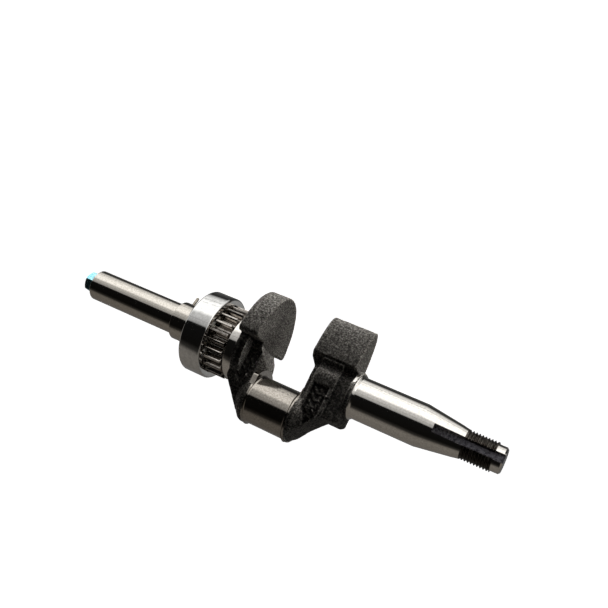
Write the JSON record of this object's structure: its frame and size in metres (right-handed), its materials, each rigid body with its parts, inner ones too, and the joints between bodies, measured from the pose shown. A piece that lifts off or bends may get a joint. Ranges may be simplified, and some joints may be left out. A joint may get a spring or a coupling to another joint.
{
  "type": "crankshaft",
  "caption": "Forged crankshaft of a small engine, with its main ball bearing, timing gear, tapered threaded end and a bolt in the power take-off end.",
  "frame": {"origin": "on the main axis, half way between the bolt's outer face and the threaded tip", "axes": "+X along the main axis from the power take-off end to the threaded end, +Y from the main axis to the counterweights, so the crankpin lies at -Y, +Z across the crank throw; the crankshaft lies on its side"},
  "size_m": [0.288, 0.0793, 0.0534],
  "materials": {
    "forging": "dark forged webs, ground and polished journals",
    "bearing_steel": "polished",
    "ball": "mirror polished",
    "cage": "pressed sheet, satin",
    "gear": "cut teeth, dark and oily",
    "pin": "plain",
    "bolt": "blue zinc plate"
  },
  "bodies": {
    "crankshaft": {"crankshaft": "forging", "bearing_inner_ring": "bearing_steel", "timing_gear": "gear", "collar_pin": "pin", "pto_bolt": "bolt"},
    "outer_race": {"bearing_outer_ring": "bearing_steel"},
    "ball_cage": {"bearing_cage_left": "cage", "bearing_cage_right": "cage", "cage_rivet_1": "cage", "cage_rivet_2": "cage", "cage_rivet_3": "cage", "cage_rivet_4": "cage", "cage_rivet_5": "cage", "cage_rivet_6": "cage", "cage_rivet_7": "cage", "cage_rivet_8": "cage", "cage_rivet_9": "cage"},
    "ball_1": {"bearing_ball_1": "ball"},
    "ball_2": {"bearing_ball_2": "ball"},
    "ball_3": {"bearing_ball_3": "ball"},
    "ball_4": {"bearing_ball_4": "ball"},
    "ball_5": {"bearing_ball_5": "ball"},
    "ball_6": {"bearing_ball_6": "ball"},
    "ball_7": {"bearing_ball_7": "ball"},
    "ball_8": {"bearing_ball_8": "ball"},
    "ball_9": {"bearing_ball_9": "ball"}
  },
  "joints": [
    {"name": "outer_race_spin", "type": "hinge", "parent": "crankshaft", "child": "outer_race", "pos_m": [-0.0438, 0, 0], "axis": [1, 0, 0], "continuous": true},
    {"name": "ball_cage_spin", "type": "hinge", "parent": "crankshaft", "child": "ball_cage", "pos_m": [-0.0438, 0, 0], "axis": [1, 0, 0], "continuous": true},
    {"name": "ball_1_roll", "type": "hinge", "parent": "ball_cage", "child": "ball_1", "pos_m": [-0.0438, 0, 0.01925], "axis": [1, 0, 0], "continuous": true},
    {"name": "ball_2_roll", "type": "hinge", "parent": "ball_cage", "child": "ball_2", "pos_m": [-0.0438, 0.01237, 0.01475], "axis": [1, 0, 0], "continuous": true},
    {"name": "ball_3_roll", "type": "hinge", "parent": "ball_cage", "child": "ball_3", "pos_m": [-0.0438, 0.01896, 0.00334], "axis": [1, 0, 0], "continuous": true},
    {"name": "ball_4_roll", "type": "hinge", "parent": "ball_cage", "child": "ball_4", "pos_m": [-0.0438, 0.01667, -0.00962], "axis": [1, 0, 0], "continuous": true},
    {"name": "ball_5_roll", "type": "hinge", "parent": "ball_cage", "child": "ball_5", "pos_m": [-0.0438, 0.00658, -0.01809], "axis": [1, 0, 0], "continuous": true},
    {"name": "ball_6_roll", "type": "hinge", "parent": "ball_cage", "child": "ball_6", "pos_m": [-0.0438, -0.00658, -0.01809], "axis": [1, 0, 0], "continuous": true},
    {"name": "ball_7_roll", "type": "hinge", "parent": "ball_cage", "child": "ball_7", "pos_m": [-0.0438, -0.01667, -0.00962], "axis": [1, 0, 0], "continuous": true},
    {"name": "ball_8_roll", "type": "hinge", "parent": "ball_cage", "child": "ball_8", "pos_m": [-0.0438, -0.01896, 0.00334], "axis": [1, 0, 0], "continuous": true},
    {"name": "ball_9_roll", "type": "hinge", "parent": "ball_cage", "child": "ball_9", "pos_m": [-0.0438, -0.01237, 0.01475], "axis": [1, 0, 0], "continuous": true}
  ],
  "couplings": [
    {"joint": "ball_cage_spin", "follows": "outer_race_spin", "ratio": 0.60312},
    {"joint": "ball_1_roll", "follows": "outer_race_spin", "ratio": 2.3213},
    {"joint": "ball_2_roll", "follows": "outer_race_spin", "ratio": 2.3213},
    {"joint": "ball_3_roll", "follows": "outer_race_spin", "ratio": 2.3213},
    {"joint": "ball_4_roll", "follows": "outer_race_spin", "ratio": 2.3213},
    {"joint": "ball_5_roll", "follows": "outer_race_spin", "ratio": 2.3213},
    {"joint": "ball_6_roll", "follows": "outer_race_spin", "ratio": 2.3213},
    {"joint": "ball_7_roll", "follows": "outer_race_spin", "ratio": 2.3213},
    {"joint": "ball_8_roll", "follows": "outer_race_spin", "ratio": 2.3213},
    {"joint": "ball_9_roll", "follows": "outer_race_spin", "ratio": 2.3213}
  ]
}
